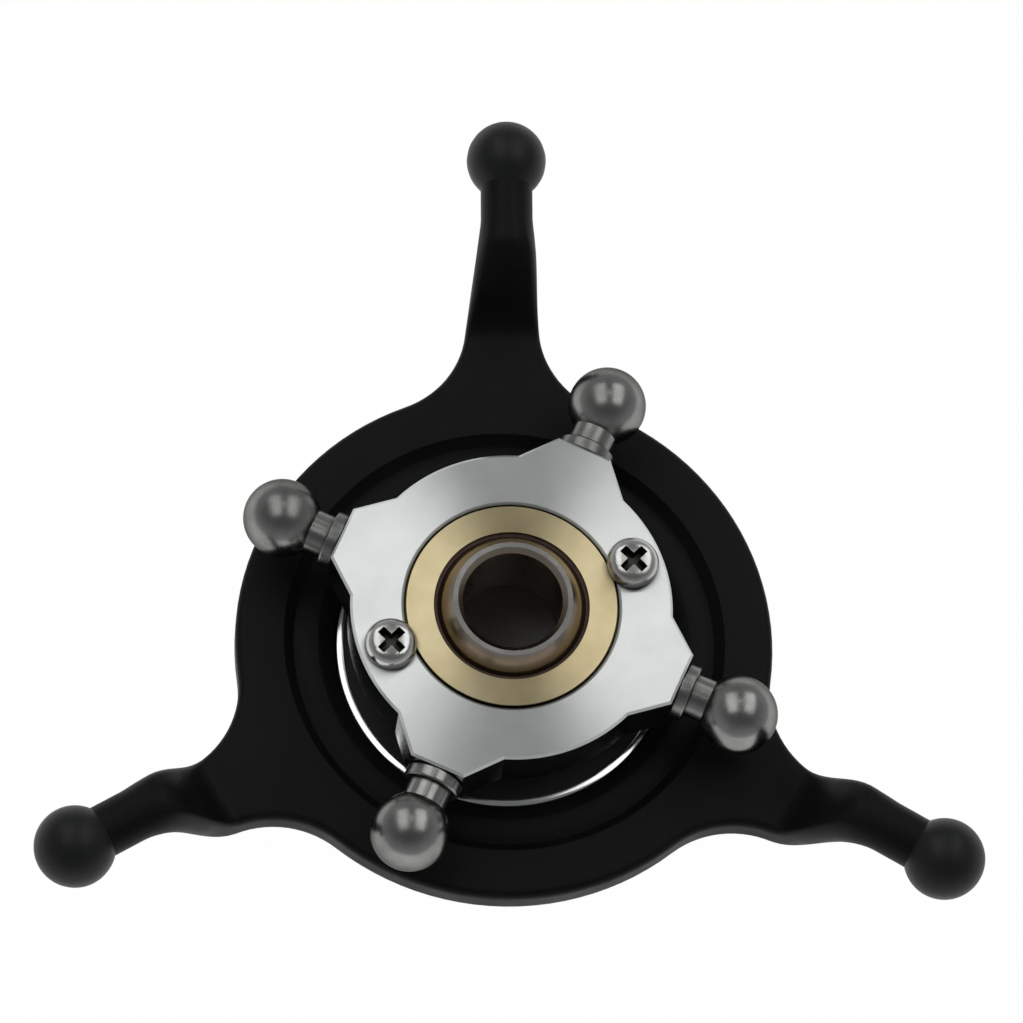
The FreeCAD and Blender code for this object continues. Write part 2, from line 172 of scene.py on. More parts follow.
def soft_box(name, direction, distance, size, power):
    """A lamp that faces the part, its width level along X."""
    lamp_data = bpy.data.lights.new(name, "AREA")
    lamp_data.shape = "RECTANGLE"
    lamp_data.size, lamp_data.size_y = size
    lamp_data.energy = power
    lamp = bpy.data.objects.new(name, lamp_data)
    away_from_part = Vector(direction).normalized()
    across = (Vector((1, 0, 0)) - away_from_part * away_from_part.x).normalized()
    lamp.location = away_from_part * distance
    axes = Matrix((across, away_from_part.cross(across), away_from_part)).transposed()
    lamp.rotation_euler = axes.to_euler()
    bpy.context.scene.collection.objects.link(lamp)


panel_distance, panel_size, panel_power = 0.96, (0.50, 1.10), 2.30
soft_box("left_panel", (-0.40, 0.36, 0.93), panel_distance, panel_size, panel_power)
soft_box("right_panel", (0.53, 0.36, 0.93), panel_distance, panel_size, panel_power)
soft_box("small_light", (0.03, 0.36, 0.93), 0.90, (0.14, 0.14), 0.09)


# ---- Mast ball -------------------------------------------------------------------------------
# A ground and polished steel ball with flat ends, bored to slide on the mast and countersunk at
# both ends. Its flank is painted dark brown, a painted reflection of the brass and of the liner that holds it.
def new_group(name, inputs, outputs):
    """A shader node group with these sockets, and its two end nodes."""
    group = bpy.data.node_groups.new(name, "ShaderNodeTree")
    for socket_name, kind, value in inputs:
        socket = group.interface.new_socket(socket_name, in_out="INPUT", socket_type=kind)
        socket.default_value = value
    for socket_name, kind in outputs:
        group.interface.new_socket(socket_name, in_out="OUTPUT", socket_type=kind)
    return group, group.nodes.new("NodeGroupInput"), group.nodes.new("NodeGroupOutput")


def math_node(tree, operation, first, second):
    """A Math node whose inputs are sockets or numbers."""
    node = tree.nodes.new("ShaderNodeMath")
    node.operation = operation
    for index, value in enumerate((first, second)):
        if isinstance(value, (int, float)):
            node.inputs[index].default_value = value
        elif value is not None:
            tree.links.new(value, node.inputs[index])
    return node.outputs[0]


FLOAT, COLOUR, VECTOR = "NodeSocketFloat", "NodeSocketColor", "NodeSocketVector"

# Tool marks: rings about the Z axis, uneven in depth, as a lathe leaves them.
height_share, wave_share = 0.7, 0.15
turned_marks, start, end = new_group(
    "turned_marks",
    [("Place", VECTOR, (0, 0, 0)), ("Rings per metre", FLOAT, 6000.0), ("Unevenness", FLOAT, 0.5)],
    [("Height", FLOAT), ("Mask", FLOAT)])
split = turned_marks.nodes.new("ShaderNodeSeparateXYZ")
turned_marks.links.new(start.outputs["Place"], split.inputs[0])
square_x = math_node(turned_marks, "MULTIPLY", split.outputs["X"], split.outputs["X"])
square_y = math_node(turned_marks, "MULTIPLY", split.outputs["Y"], split.outputs["Y"])
radius = math_node(turned_marks, "SQRT", math_node(turned_marks, "ADD", square_x, square_y), None)
rise = math_node(turned_marks, "MULTIPLY", split.outputs["Z"], height_share)
along = math_node(turned_marks, "ADD", radius, rise)
turns = math_node(turned_marks, "MULTIPLY", along, start.outputs["Rings per metre"])
ring_noise = turned_marks.nodes.new("ShaderNodeTexNoise")
ring_noise.noise_dimensions = "1D"
ring_noise.inputs["Scale"].default_value = 1.0
ring_noise.inputs["Detail"].default_value = 4.0
turned_marks.links.new(turns, ring_noise.inputs["W"])
wave = math_node(turned_marks, "SINE", math_node(turned_marks, "MULTIPLY", turns, math.tau), None)
even = math_node(turned_marks, "MULTIPLY", wave, wave_share)
uneven = math_node(turned_marks, "MULTIPLY", ring_noise.outputs["Fac"], start.outputs["Unevenness"])
turned_marks.links.new(math_node(turned_marks, "ADD", even, uneven), end.inputs["Height"])
turned_marks.links.new(ring_noise.outputs["Fac"], end.inputs["Mask"])

# Stains: slow changes of colour and polish where hands and oil have been.
patch_edge, patch_middle = 0.35, 0.70
stains, start, end = new_group(
    "stains",
    [("Place", VECTOR, (0, 0, 0)), ("Clean", COLOUR, (1, 1, 1, 1)), ("Stained", COLOUR, (0.5, 0.5, 0.5, 1)),
     ("Patches per metre", FLOAT, 300.0), ("Smooth", FLOAT, 0.2), ("Dull", FLOAT, 0.4)],
    [("Colour", COLOUR), ("Roughness", FLOAT)])
patches = stains.nodes.new("ShaderNodeTexNoise")
patches.inputs["Detail"].default_value = 5.0
patches.inputs["Roughness"].default_value = 0.6
stains.links.new(start.outputs["Place"], patches.inputs["Vector"])
stains.links.new(start.outputs["Patches per metre"], patches.inputs["Scale"])
contrast = stains.nodes.new("ShaderNodeMapRange")
contrast.inputs["From Min"].default_value = patch_edge
contrast.inputs["From Max"].default_value = patch_middle
stains.links.new(patches.outputs["Fac"], contrast.inputs["Value"])
blend = stains.nodes.new("ShaderNodeMix")
blend.data_type = "RGBA"
stains.links.new(contrast.outputs["Result"], blend.inputs["Factor"])
stains.links.new(start.outputs["Clean"], blend.inputs["A"])
stains.links.new(start.outputs["Stained"], blend.inputs["B"])
stains.links.new(blend.outputs["Result"], end.inputs["Colour"])
polish = stains.nodes.new("ShaderNodeMapRange")
stains.links.new(contrast.outputs["Result"], polish.inputs["Value"])
stains.links.new(start.outputs["Smooth"], polish.inputs["To Min"])
stains.links.new(start.outputs["Dull"], polish.inputs["To Max"])
stains.links.new(polish.outputs["Result"], end.inputs["Roughness"])

# Crevice shade: painted shade, a near-black colour laid where the Ambient Occlusion node finds the surface
# closed in.
fully_shaded, fully_open = 0.25, 0.75
crevice_shade, start, end = new_group(
    "crevice_shade",
    [("Colour", COLOUR, (1, 1, 1, 1)), ("Shade", COLOUR, (0.02, 0.015, 0.01, 1)), ("Reach", FLOAT, 0.0006),
     ("Amount", FLOAT, 1.0)],
    [("Colour", COLOUR), ("Mask", FLOAT)])
openness = crevice_shade.nodes.new("ShaderNodeAmbientOcclusion")
openness.samples = 6
openness.only_local = False
crevice_shade.links.new(start.outputs["Reach"], openness.inputs["Distance"])
closed = crevice_shade.nodes.new("ShaderNodeMapRange")
closed.inputs["From Min"].default_value = fully_shaded
closed.inputs["From Max"].default_value = fully_open
closed.inputs["To Min"].default_value = 1.0
closed.inputs["To Max"].default_value = 0.0
crevice_shade.links.new(openness.outputs["AO"], closed.inputs["Value"])
shade_share = math_node(crevice_shade, "MULTIPLY", closed.outputs["Result"], start.outputs["Amount"])
blend = crevice_shade.nodes.new("ShaderNodeMix")
blend.data_type = "RGBA"
crevice_shade.links.new(shade_share, blend.inputs["Factor"])
crevice_shade.links.new(start.outputs["Colour"], blend.inputs["A"])
crevice_shade.links.new(start.outputs["Shade"], blend.inputs["B"])
crevice_shade.links.new(blend.outputs["Result"], end.inputs["Colour"])
crevice_shade.links.new(shade_share, end.inputs["Mask"])


def start_finish(name, metallic, tangent=False):
    """A material with a Principled shader and Object coordinates, ready for its groups."""
    finish = bpy.data.materials.new(name)
    finish.use_nodes = True
    shader = finish.node_tree.nodes["Principled BSDF"]
    shader.inputs["Metallic"].default_value = metallic
    coordinates = finish.node_tree.nodes.new("ShaderNodeTexCoord")
    if tangent:
        round_axis = finish.node_tree.nodes.new("ShaderNodeTangent")
        round_axis.direction_type = "RADIAL"
        round_axis.axis = "Z"
        finish.node_tree.links.new(round_axis.outputs[0], shader.inputs["Tangent"])
    return finish, shader, coordinates.outputs["Object"]


def place_group(finish, group, place, values):
    """A group placed in a material with its own values."""
    node = finish.node_tree.nodes.new("ShaderNodeGroup")
    node.node_tree = group
    finish.node_tree.links.new(place, node.inputs["Place"])
    for socket_name, value in values.items():
        node.inputs[socket_name].default_value = value
    return node


def raise_surface(finish, shader, height, distance, strength=1.0):
    """Bump from a height, in metres."""
    bump = finish.node_tree.nodes.new("ShaderNodeBump")
    bump.inputs["Distance"].default_value = distance
    bump.inputs["Strength"].default_value = strength
    finish.node_tree.links.new(height, bump.inputs["Height"])
    finish.node_tree.links.new(bump.outputs["Normal"], shader.inputs["Normal"])


def add_crevice_shade(finish, shader, colour, reach, amount):
    """Painted crevice shade over a colour."""
    crevice_shade_node = finish.node_tree.nodes.new("ShaderNodeGroup")
    crevice_shade_node.node_tree = crevice_shade
    crevice_shade_node.inputs["Reach"].default_value = reach
    crevice_shade_node.inputs["Amount"].default_value = amount
    finish.node_tree.links.new(colour, crevice_shade_node.inputs["Colour"])
    finish.node_tree.links.new(crevice_shade_node.outputs["Colour"], shader.inputs["Base Color"])


def turned_metal(
        name, clean, stained, smooth, dull, rings, depth, unevenness=0.5, anisotropy=0.0, reach=0.0006,
        edge=1.0):
    """Bare turned metal: two colours, two roughnesses, its tool marks and how far its painted crevice shade
    reaches.
    """
    finish, shader, place = start_finish(name, 1.0, anisotropy > 0)
    shader.inputs["Specular Tint"].default_value = (edge, edge, edge, 1)
    shader.inputs["Anisotropic"].default_value = anisotropy
    # The streak of light runs across the tool marks.
    shader.inputs["Anisotropic Rotation"].default_value = 0.25
    marks = place_group(finish, turned_marks, place, {"Rings per metre": rings, "Unevenness": unevenness})
    tone = place_group(finish, stains, place, {
        "Clean": (*clean, 1), "Stained": (*stained, 1), "Smooth": smooth, "Dull": dull})
    # Painted shade darkens its crevices.
    add_crevice_shade(finish, shader, tone.outputs["Colour"], reach, 1.0)
    finish.node_tree.links.new(tone.outputs["Roughness"], shader.inputs["Roughness"])
    raise_surface(finish, shader, marks.outputs["Height"], depth)
    return finish


def trace(bm, start, path):
    """Draws a closed profile in the XZ plane, from start.

    Its steps are ("to", r, z) lines and ("arc", centre r, centre z, degrees) arcs.
    """
    degrees_per_step = 4
    first = bm.verts.new((start[0] * MM, 0, start[1] * MM))
    last = first
    for step in path:
        if step[0] == "to":
            last = bmesh.ops.extrude_vert_indiv(bm, verts=[last])["verts"][0]
            last.co = (step[1] * MM, 0, step[2] * MM)
        else:
            arc = bmesh.ops.spin(
                bm, geom=[last], cent=(step[1] * MM, 0, step[2] * MM), axis=(0, 1, 0),
                angle=math.radians(step[3]), steps=max(3, round(abs(step[3]) / degrees_per_step)))
            last = [item for item in arc["geom_last"] if isinstance(item, bmesh.types.BMVert)][0]
    bm.edges.new((last, first))


def lathe(bm, start, path, steps=128):
    """Turns a closed profile about Z."""
    trace(bm, start, path)
    bmesh.ops.spin(
        bm, geom=bm.verts[:] + bm.edges[:], cent=(0, 0, 0), axis=(0, 0, 1), angle=math.tau, steps=steps,
        use_merge=True)
    bmesh.ops.remove_doubles(bm, verts=bm.verts, dist=1e-7)
    bmesh.ops.dissolve_degenerate(bm, edges=bm.edges, dist=1e-7)
    # A profile that closes along the axis leaves an edge there with no face.
    bmesh.ops.delete(bm, geom=[edge for edge in bm.edges if edge.is_wire], context="EDGES")
    bmesh.ops.recalc_face_normals(bm, faces=bm.faces)


def finish_piece(bm, name, finish, body, replaced=(), sharp=32.0, turn=None):
    """Makes the piece's object, smooth except at its sharp edges."""
    for face in bm.faces:
        face.smooth = True
    for edge in bm.edges:
        edge.smooth = edge.calc_face_angle(0.0) < math.radians(sharp)
    if turn is not None:
        bmesh.ops.transform(bm, matrix=turn, verts=bm.verts)
    mesh = bpy.data.meshes.new(name)
    bm.to_mesh(mesh)
    bm.free()
    mesh.materials.append(finish)
    piece = bpy.data.objects.new(name, mesh)
    bpy.context.scene.collection.objects.link(piece)
    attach(piece, body)
    if replaced:
        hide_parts(*replaced)
    return piece


ball_radius, ball_half_height, bore_radius, countersink = 4.75, 3.10, 3.00, 0.30
lip_radius = math.sqrt(ball_radius ** 2 - ball_half_height ** 2)
lip_angle = math.degrees(math.asin(ball_half_height / ball_radius))
polished_steel = turned_metal(
    "polished_steel", (0.24, 0.23, 0.215), (0.20, 0.19, 0.175), 0.20, 0.32, 9000, 0.000002)
# Painted reflection: the flank turns dark brown away from the flat ends, standing in for the brass and liner
# it mirrors.
painted_reflection_edge, painted_reflection_full = 0.03, 0.25
tree = polished_steel.node_tree
place_split = tree.nodes.new("ShaderNodeSeparateXYZ")
tree.links.new(tree.nodes["Texture Coordinate"].outputs["Object"], place_split.inputs[0])
painted_reflection_band = tree.nodes.new("ShaderNodeMapRange")
painted_reflection_band.inputs["From Min"].default_value = (ball_half_height - painted_reflection_edge) * MM
painted_reflection_band.inputs["From Max"].default_value = (ball_half_height - painted_reflection_full) * MM
tree.links.new(math_node(tree, "ABSOLUTE", place_split.outputs["Z"], None), painted_reflection_band.inputs["Value"])
brown_reflection = tree.nodes.new("ShaderNodeMix")
brown_reflection.data_type = "RGBA"
brown_reflection.inputs["B"].default_value = (0.26, 0.20, 0.14, 1)
steel_colour = tree.nodes["Principled BSDF"].inputs["Base Color"]
tree.links.new(painted_reflection_band.outputs["Result"], brown_reflection.inputs["Factor"])
tree.links.new(steel_colour.links[0].from_socket, brown_reflection.inputs["A"])
tree.links.new(brown_reflection.outputs["Result"], steel_colour)
bm = bmesh.new()
lathe(bm, (bore_radius, -ball_half_height + countersink), [
    ("to", bore_radius, ball_half_height - countersink),
    ("to", bore_radius + countersink, ball_half_height),
    ("to", lip_radius, ball_half_height),
    ("arc", 0, 0, 2 * lip_angle),
    ("to", bore_radius + countersink, -ball_half_height)])
finish_piece(bm, "polished_mast_ball", polished_steel, "mast_ball", ["mast_ball"])


# ---- Ball liner ------------------------------------------------------------------------------
# A thin self-lubricating liner of brown woven fabric, held between the ball and its two seats.
# From above it shows as a dark line inside the brass.

# Grain: the fine, even roughness of fabric, rubber and moulded nylon.
grain, start, end = new_group(
    "grain",
    [("Place", VECTOR, (0, 0, 0)), ("Grains per metre", FLOAT, 9000.0)],
    [("Height", FLOAT)])
speckle = grain.nodes.new("ShaderNodeTexNoise")
speckle.inputs["Detail"].default_value = 2.0
grain.links.new(start.outputs["Place"], speckle.inputs["Vector"])
grain.links.new(start.outputs["Grains per metre"], speckle.inputs["Scale"])
grain.links.new(speckle.outputs["Fac"], end.inputs["Height"])


def moulded(name, clean, stained, smooth, dull, grains, depth, specular=0.5):
    """Nylon, rubber or fabric: two colours, two roughnesses and its grain."""
    finish, shader, place = start_finish(name, 0.0)
    shader.inputs["Specular IOR Level"].default_value = specular
    speckles = place_group(finish, grain, place, {"Grains per metre": grains})
    tone = place_group(finish, stains, place, {
        "Clean": (*clean, 1), "Stained": (*stained, 1), "Smooth": smooth, "Dull": dull})
    finish.node_tree.links.new(tone.outputs["Colour"], shader.inputs["Base Color"])
    finish.node_tree.links.new(tone.outputs["Roughness"], shader.inputs["Roughness"])
    raise_surface(finish, shader, speckles.outputs["Height"], depth)
    return finish


def dress(node_name, finish):
    """Gives a CAD node its material."""
    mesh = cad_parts[node_name].data
    mesh.materials.clear()
    mesh.materials.append(finish)


liner_brown = moulded(
    "liner_brown", (0.075, 0.030, 0.012), (0.035, 0.015, 0.007), 0.5, 0.7, 9000, 0.00003)
dress("ball_liner", liner_brown)


# ---- Brass seats -----------------------------------------------------------------------------
# Two turned brass rings hold the liner. The upper one shows, and a narrow groove runs round it
# where it drops into the plate.
seat_radius, seat_face_radius, sphere_radius = 6.49, 6.34, 5.06
seat_top, seat_bottom, groove_floor = 1.90, 0.10, 1.35
sphere_start = math.degrees(math.asin(seat_bottom / sphere_radius))
sphere_end = math.degrees(math.asin(seat_top / sphere_radius))
brass = turned_metal(
    "turned_brass", (0.69, 0.595, 0.365), (0.60, 0.495, 0.285), 0.30, 0.36, 7000, 0.000004, 0.8, 0.96, 0.0005)
bm = bmesh.new()
lathe(bm, (sphere_radius * math.cos(math.radians(sphere_end)), seat_top), [
    ("to", seat_face_radius, seat_top),
    ("to", seat_face_radius, groove_floor),
    ("to", seat_radius, groove_floor),
    ("to", seat_radius, seat_bottom),
    ("to", sphere_radius * math.cos(math.radians(sphere_start)), seat_bottom),
    ("arc", 0, 0, sphere_start - sphere_end)])
finish_piece(bm, "brass_seat_ring", brass, "rotating_plate", ["brass_retainer"])
dress("lower_ball_seat", brass)


# ---- Rotating plate --------------------------------------------------------------------------
# Aluminium, turned on its face and milled round its edge: a waisted plate with four flat-ended lobes,
# and below it the neck and hub that carry the bearing. Its bore is painted near-black, as painted shade.
turned_aluminium = turned_metal(
    "turned_aluminium", (0.75, 0.77, 0.75), (0.70, 0.72, 0.715), 0.31, 0.35, 5000, 0.000004, 0.8, 0.96, 0.0003)
milled_aluminium = turned_metal(
    "milled_aluminium", (0.60, 0.61, 0.60), (0.40, 0.41, 0.40), 0.12, 0.22, 3000, 0.000003, 0.8, 0.0, 0.003)
# Painted shade: the walls of the bore take a near-black colour.
bore_shade_aluminium = turned_metal(
    "bore_shade_aluminium", (0.10, 0.10, 0.095), (0.05, 0.05, 0.045), 0.40, 0.60, 3000, 0.000003)
dress("inner_plate", turned_aluminium)
plate_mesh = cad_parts["inner_plate"].data
plate_mesh.materials.append(milled_aluminium)
plate_mesh.materials.append(bore_shade_aluminium)
turned_slot, milled_slot, bore_shade_slot = 0, 1, 2
turned_from = 1.70 * MM
bore_wall = 6.60 * MM
# Faces below the turned top are milled, except those in the bore, which take the painted shade.
for face in plate_mesh.polygons:
    in_bore = math.hypot(face.center.x, face.center.y) < bore_wall
    side_slot = bore_shade_slot if in_bore else milled_slot
    face.material_index = turned_slot if face.center.z > turned_from else side_slot


# ---- Link balls ------------------------------------------------------------------------------
# Four turned steel balls on necks that take the links to the rotor head. Each is screwed into the
# flat end of a lobe up to its collar.
gunmetal = turned_metal(
    "gunmetal_steel", (0.30, 0.30, 0.288), (0.17, 0.17, 0.162), 0.22, 0.34, 7000, 0.000003, 0.6, 0.0,
    0.0009, 0.35)
link_radius, link_reach, neck_radius, collar_radius, shank_radius = 2.375, 15.0, 1.35, 1.75, 1.0
lobe_reach, collar_length, collar_round, shank_length = 11.15, 0.80, 0.14, 3.0
first_lobe_angle, lobe_spacing = 66.2, 90
neck_angle = math.degrees(math.asin(neck_radius / link_radius))
for number in range(4):
    bm = bmesh.new()
    lathe(bm, (0, link_reach + link_radius), [
        ("arc", 0, link_reach, 180 - neck_angle),
        ("to", neck_radius, lobe_reach + collar_length),
        ("to", collar_radius - collar_round, lobe_reach + collar_length),
        ("arc", collar_radius - collar_round, lobe_reach + collar_length - collar_round, 90),
        ("to", collar_radius, lobe_reach + collar_round),
        ("arc", collar_radius - collar_round, lobe_reach + collar_round, 90),
        ("to", shank_radius, lobe_reach),
        ("to", shank_radius, lobe_reach - shank_length),
        ("to", 0, lobe_reach - shank_length)])
    lobe_angle = math.radians(first_lobe_angle + lobe_spacing * number)
    lay_down = Matrix.Rotation(math.radians(90), 4, "Y")
    finish_piece(
        bm, "steel_link_ball_%d" % (number + 1), gunmetal, "rotating_plate",
        ["link_ball_%d" % (number + 1)], turn=Matrix.Rotation(lobe_angle, 4, "Z") @ lay_down)


# ---- Clamp screws ----------------------------------------------------------------------------
# Two small zinc-plated pan-head screws with a cross recess, driven into the plate. Their heads
# overlap the brass ring and hold it down.
zinc = turned_metal(
    "zinc_plate", (0.62, 0.62, 0.60), (0.44, 0.44, 0.42), 0.16, 0.28, 7000, 0.000002, 0.5, 0.0, 0.0013,
    0.4)
# Painted shade: the cross recess is coloured near-black.
recess_shade = turned_metal(
    "recess_shade", (0.10, 0.10, 0.095), (0.05, 0.05, 0.045), 0.45, 0.60, 7000, 0.000002)
head_radius, head_height, screw_circle, plate_top, thread_radius = 1.55, 1.20, 7.77, 1.90, 0.80
# The head's crown, as radii and how far each lies below the top.
crown = [(0.80, 0.04), (1.15, 0.12), (1.40, 0.32), (head_radius, 0.62)]
foot_height, foot_bevel, thread_length, screw_length = 0.15, 0.12, 2.9, 3.0
first_screw_angle, screw_spacing, screw_steps = 20.4, 180, 64
wing_length, wing_width, wing_height, wing_taper, recess_angle = 2.35, 0.66, 1.6, 0.60, 24.6
for number in range(2):
    bm = bmesh.new()
    lathe(bm, (0, head_height), [("to", radius, head_height - fall) for radius, fall in crown] + [
        ("to", head_radius, foot_height),
        ("to", head_radius - foot_bevel, 0),
        ("to", thread_radius, 0),
        ("to", thread_radius, -thread_length),
        ("to", 0, -screw_length)], screw_steps)
    screw_angle = math.radians(first_screw_angle + screw_spacing * number)
    seat = Matrix.Translation((screw_circle * MM, 0, plate_top * MM))
    head_place = Matrix.Rotation(screw_angle, 4, "Z") @ seat
    screw = finish_piece(
        bm, "pan_head_screw_%d" % (number + 1), zinc, "rotating_plate",
        ["clamp_screw_%d" % (number + 1)], turn=head_place)
    screw.data.materials.append(recess_shade)
    # The recess is cut by two crossed wings that narrow downwards, and takes their near-black colour, painted
    # shade in the recess.
    cutters = []
    for wing in range(2):
        bm = bmesh.new()
        made = bmesh.ops.create_cube(bm, size=1.0)["verts"]
        for vert in made:
            narrow = wing_taper if vert.co.z < 0 else 1.0
            along, side, rise = vert.co
            vert.co = Vector((
                along * wing_length * narrow, side * wing_width * narrow, rise * wing_height)) * MM
        wing_turn = Matrix.Rotation(math.radians(recess_angle + 90 * wing), 3, "Z")
        bmesh.ops.rotate(bm, verts=made, cent=(0, 0, 0), matrix=wing_turn)
        bmesh.ops.translate(bm, verts=made, vec=(0, 0, head_height * MM))
        bmesh.ops.transform(bm, matrix=head_place, verts=made)
        cutter_mesh = bpy.data.meshes.new("recess_cutter")
        for face in bm.faces:
            face.material_index = 1
        bm.to_mesh(cutter_mesh)
        bm.free()
        cutter_mesh.materials.append(zinc)
        cutter_mesh.materials.append(recess_shade)
        cutter = bpy.data.objects.new("recess_cutter", cutter_mesh)
        bpy.context.scene.collection.objects.link(cutter)
        cut = screw.modifiers.new("recess", "BOOLEAN")
        cut.object = cutter
        cut.solver = "EXACT"
        cutters.append(cutter)
    bpy.context.view_layer.update()
    cut_screw = screw.evaluated_get(bpy.context.evaluated_depsgraph_get())
    cut_mesh = bpy.data.meshes.new_from_object(cut_screw)
    screw.modifiers.clear()
    screw.data = cut_mesh
    for cutter in cutters:
        bpy.data.objects.remove(cutter)


# ---- Bearing ---------------------------------------------------------------------------------
# A sealed thin-section ball bearing on the hub: ground steel races and balls, a nylon cage and
# rubber seals. Only its outer race shows from above, held under the ring's lip.
race_steel = turned_metal(
    "race_steel", (0.80, 0.80, 0.79), (0.70, 0.70, 0.69), 0.10, 0.16, 9000, 0.000002, 0.5, 0.0, 0.0002)
seal_rubber = moulded(
    "seal_rubber", (0.012, 0.012, 0.012), (0.02, 0.02, 0.02), 0.5, 0.7, 9000, 0.00001, 0.3)
cage_nylon = moulded("cage_nylon", (0.62, 0.52, 0.36), (0.5, 0.42, 0.3), 0.4, 0.6, 9000, 0.00001)
for node_name in ("bearing_inner_race", "bearing_balls"):
    dress(node_name, race_steel)
race_top, race_middle, race_bottom = -5.40, -7.40, -9.40
race_radius, race_land, race_shoulder, seal_step = 10.49, 9.80, 9.55, 0.40
groove_radius, pitch_radius, crown_radius, crown_fall = 0.826, 9.00, 10.10, 0.24
groove_angle = math.degrees(math.acos((race_shoulder - pitch_radius) / groove_radius))
bm = bmesh.new()
lathe(bm, (race_land, race_top), [
    ("to", crown_radius, race_top),
    ("to", race_radius, race_top - crown_fall),
    ("to", race_radius, race_bottom + crown_fall),
    ("to", crown_radius, race_bottom),
    ("to", race_land, race_bottom),
    ("to", race_land, race_bottom + seal_step),
    ("to", race_shoulder, race_bottom + seal_step),
    ("to", race_shoulder, race_middle - groove_radius * math.sin(math.radians(groove_angle))),
    ("arc", pitch_radius, race_middle, -2 * groove_angle),
    ("to", race_shoulder, race_top - seal_step),
    ("to", race_land, race_top - seal_step)])
finish_piece(bm, "outer_race", race_steel, "fixed_ring", ["bearing_outer_race"])
dress("bearing_cage", cage_nylon)
dress("bearing_seal_upper", seal_rubber)
dress("bearing_seal_lower", seal_rubber)


# ---- Circlips --------------------------------------------------------------------------------
# Blackened spring-steel rings that keep the bearing on the hub and in the ring. The thin shim that
# takes up the last play on the hub is of the same strip.
spring = turned_metal("spring_steel", (0.16, 0.15, 0.14), (0.10, 0.095, 0.09), 0.3, 0.5, 9000, 0.000002)
for node_name in ("hub_circlip", "housing_circlip", "hub_shim"):
    dress(node_name, spring)


# ---- Non-rotating ring -----------------------------------------------------------------------
# Glass-filled black nylon, moulded in one piece with its three servo arms and their balls. It holds
# the bearing in its boss, and its arms crank up from the flange to the level of the mast ball.
black_nylon = moulded(
    "black_nylon", (0.0046, 0.0049, 0.0056), (0.0070, 0.0074, 0.0082), 0.42, 0.55, 9000, 0.00001, 0.10)
# Painted sheen: the arm balls take a lighter colour, while their smoother, glossier finish is wear.
worn_nylon_painted_sheen = moulded(
    "worn_nylon_painted_sheen", (0.0130, 0.0138, 0.0138), (0.0090, 0.0095, 0.0095), 0.38, 0.50, 9000, 0.00001, 0.20)
ring_top, ring_bottom, rim_radius, face_radius = -4.20, -6.40, 16.40, 13.45
root_end, root_half_width, root_round = 19.80, 2.35, 6.0
arm_ball_distance, arm_ball_radius, arm_neck_radius = 29.90, 2.45, 1.60
# Along an arm: where its top stops rising, and where its underside starts and stops.
rise_end, fall_start, fall_end = 24.20, 20.20, 25.80
arm_neck_end = arm_ball_distance - math.sqrt(arm_ball_radius ** 2 - arm_neck_radius ** 2)
arm_count, first_arm_angle = 3, 90
rim_steps, fillet_steps, root_steps, side_steps = 12, 14, 12, 6
face_steps, bar_steps, arm_ball_steps = 144, 20, 24
taper = math.atan2(root_half_width - arm_neck_radius, fall_end - root_end)
inward = Vector((-math.cos(taper), math.sin(taper), 0))
outward = Vector((math.sin(taper), math.cos(taper), 0))
# The root arc touches the arm's side and the rim, so its centre is one arc radius off both.
side_point = Vector((root_end, root_half_width, 0)) + outward * root_round
half_b = side_point.dot(inward)
run = -half_b - math.sqrt(half_b ** 2 - side_point.length_squared + (rim_radius + root_round) ** 2)
root_centre = side_point + inward * run
rim_angle = math.atan2(root_centre.y, root_centre.x)
root_angle = (root_centre * -1).angle(outward * -1)


def carry(bm, vert, x, y, z):
    """A new vertex joined to the last one."""
    vert = bmesh.ops.extrude_vert_indiv(bm, verts=[vert])["verts"][0]
    vert.co = Vector((x, y, z)) * MM
    return vert


def swing(bm, vert, centre_x, centre_y, angle, steps):
    """An arc about an upright axis."""
    arc = bmesh.ops.spin(
        bm, geom=[vert], cent=(centre_x * MM, centre_y * MM, 0), axis=(0, 0, 1), angle=angle, steps=steps)
    return [item for item in arc["geom_last"] if isinstance(item, bmesh.types.BMVert)][0]


def flange_edge(bm, inset, height):
    """One level of the flange's outline, this far inside the full one."""
    before = set(bm.verts)
    half_third = math.pi / arm_count
    radius = rim_radius - inset
    vert = bm.verts.new(Vector((radius * math.cos(-half_third), radius * math.sin(-half_third), height)) * MM)
    vert = swing(bm, vert, 0, 0, half_third - rim_angle, rim_steps)
    vert = swing(bm, vert, root_centre.x, -root_centre.y, -root_angle, fillet_steps)
    half_width = root_half_width - inset
    for step in range(root_steps + 1):
        vert = carry(bm, vert, root_end, -half_width + 2 * half_width * step / root_steps, height)
    side = root_centre - outward * (root_round + inset)
    vert = carry(bm, vert, side.x, side.y, height)
    vert = swing(bm, vert, root_centre.x, root_centre.y, -root_angle, fillet_steps)
    vert = swing(bm, vert, 0, 0, half_third - rim_angle, rim_steps)
    made = [item for item in bm.verts if item not in before]
    edges = list({edge for item in made for edge in item.link_edges})
    first_turn = Matrix.Rotation(math.radians(first_arm_angle), 3, "Z")
    bmesh.ops.rotate(bm, verts=made, cent=(0, 0, 0), matrix=first_turn)
    bmesh.ops.spin(
        bm, geom=made + edges, cent=(0, 0, 0), axis=(0, 0, 1), angle=math.tau * (arm_count - 1) / arm_count,
        steps=arm_count - 1, use_duplicate=True)
    made = [item for item in bm.verts if item not in before]
    bmesh.ops.remove_doubles(bm, verts=made, dist=1e-7)
    made = [item for item in bm.verts if item not in before]
    return list({edge for item in made for edge in item.link_edges})


